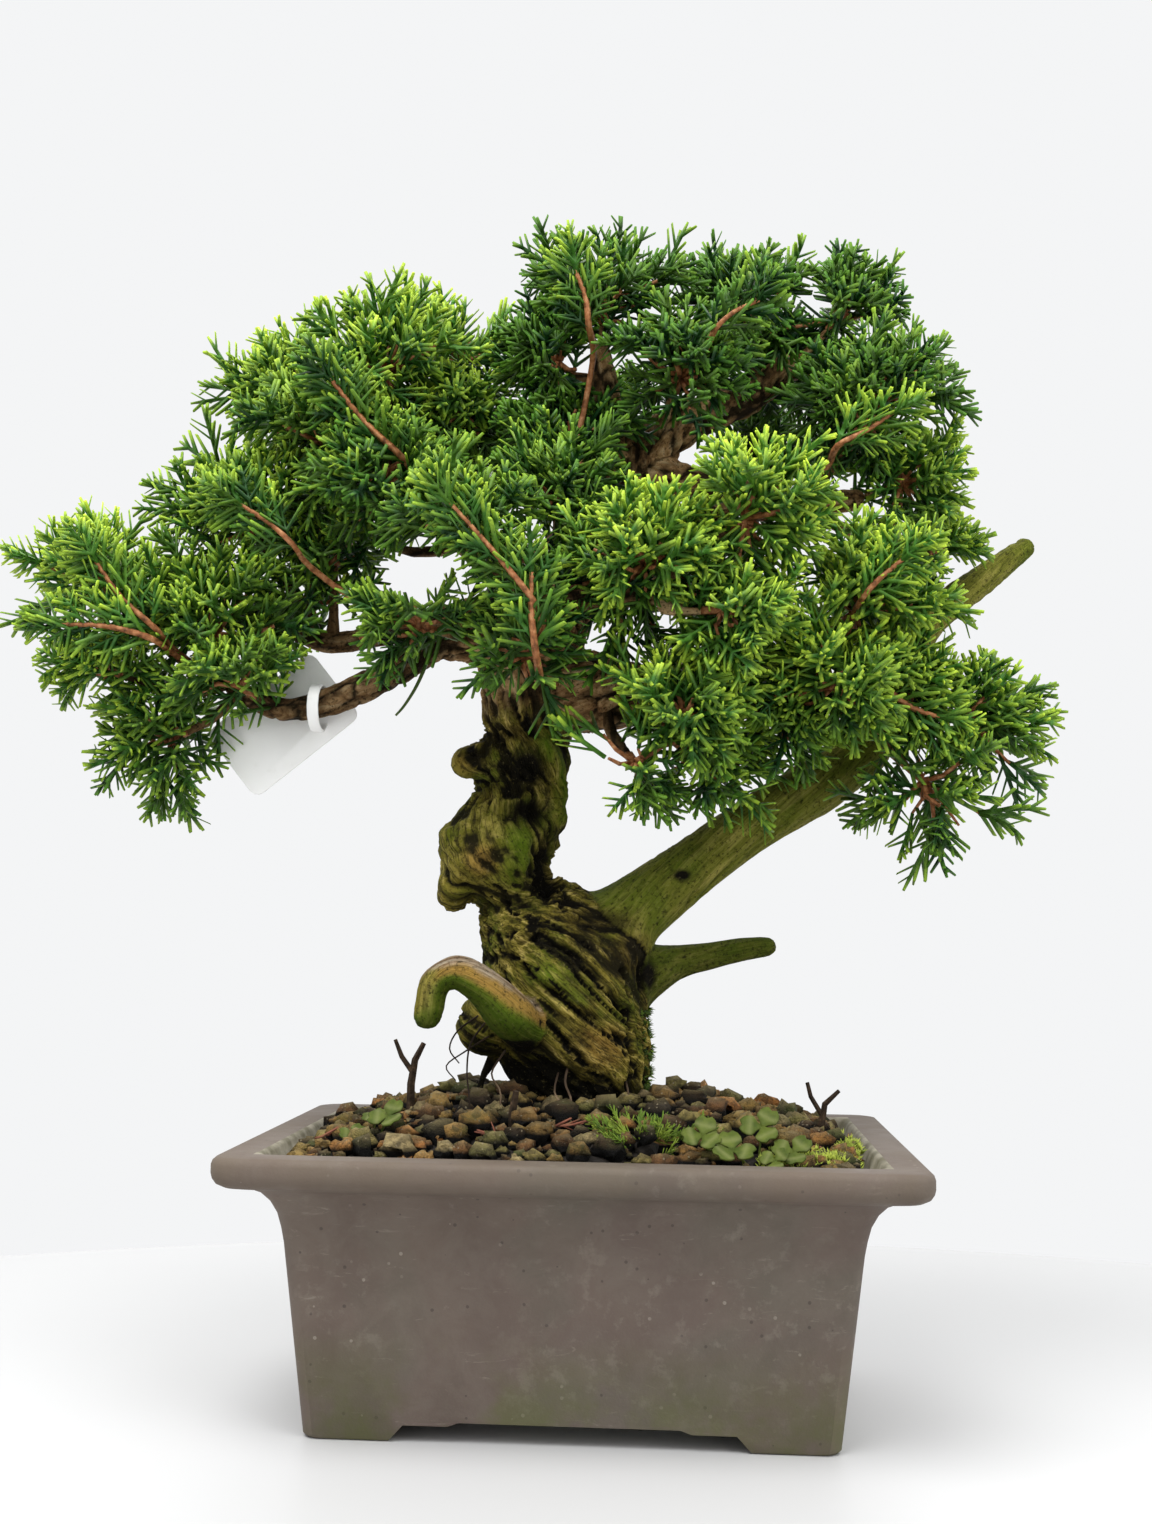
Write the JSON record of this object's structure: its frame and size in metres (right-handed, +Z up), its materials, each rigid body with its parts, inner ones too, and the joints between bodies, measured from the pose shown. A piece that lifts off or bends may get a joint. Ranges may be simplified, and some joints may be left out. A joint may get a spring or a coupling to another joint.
{
  "type": "chinese juniper bonsai",
  "caption": "Informal upright Chinese juniper bonsai with deadwood stubs and dense scale foliage, in a rectangular unglazed pot, for display on a stand or table.",
  "frame": {"origin": "middle of the whole object's footprint box, on the surface that the pot stands on", "axes": "+Z up, -Y towards the front of the pot, +X to the right as seen from the front"},
  "size_m": [0.3198, 0.1542, 0.363],
  "materials": {
    "stoneware": "unglazed grey-brown stoneware, matt, with rubbed rims, fine specks and a faint green algae stain",
    "soil": "coarse fired-clay and pumice grains, 4 to 8 mm, brown to ochre, matt",
    "screen_plastic": "black plastic net, matt",
    "bark": "flaky grey-brown bark and mossy olive deadwood with dark, winding grain",
    "foliage": "cords of scale leaves, satin, mid green with yellow-green tips",
    "clover": "thin matt leaves, mid green with a paler mark",
    "dead_twig": "dry dark brown twig, matt",
    "tag_plastic": "white plastic plate and strap, satin, blank"
  },
  "bodies": {
    "root": {"clover_left": "clover", "clover_right": "clover", "drain_screen_left": "screen_plastic", "drain_screen_right": "screen_plastic", "foliage_apex": "foliage", "foliage_apex_front": "foliage", "foliage_apex_left": "foliage", "foliage_apex_right": "foliage", "foliage_back_crown": "foliage", "foliage_back_left_low": "foliage", "foliage_back_low": "foliage", "foliage_back_middle": "foliage", "foliage_back_right_high": "foliage", "foliage_back_right_low": "foliage", "foliage_back_shoulder": "foliage", "foliage_breast_left": "foliage", "foliage_brow_inner": "foliage", "foliage_brow_left": "foliage", "foliage_cheek_right": "foliage", "foliage_crest_back": "foliage", "foliage_crest_left": "foliage", "foliage_crest_right": "foliage", "foliage_crown_back": "foliage", "foliage_front_breast": "foliage", "foliage_front_left": "foliage", "foliage_front_low": "foliage", "foliage_front_middle": "foliage", "foliage_front_right": "foliage", "foliage_front_skirt": "foliage", "foliage_heart": "foliage", "foliage_heart_front": "foliage", "foliage_left_apron": "foliage", "foliage_left_drop": "foliage", "foliage_left_heart": "foliage", "foliage_left_inner": "foliage", "foliage_left_tip_high": "foliage", "foliage_left_tip_low": "foliage", "foliage_right_back": "foliage", "foliage_right_breast": "foliage", "foliage_right_drop": "foliage", "foliage_right_high": "foliage", "foliage_right_inner": "foliage", "foliage_right_tip": "foliage", "foliage_shoulder_back": "foliage", "foliage_shoulder_left": "foliage", "foliage_shoulder_right": "foliage", "foliage_shoulder_top": "foliage", "foliage_skirt_left": "foliage", "foliage_skirt_low": "foliage", "foliage_skirt_middle": "foliage", "foliage_skirt_right": "foliage", "foliage_waist_left": "foliage", "foliage_waist_right": "foliage", "juniper_wood": "bark", "label_tag": "tag_plastic", "pot": "stoneware", "soil": "soil", "twig_front": "dead_twig", "twig_left": "dead_twig", "twig_right": "dead_twig"}
  },
  "joints": []
}
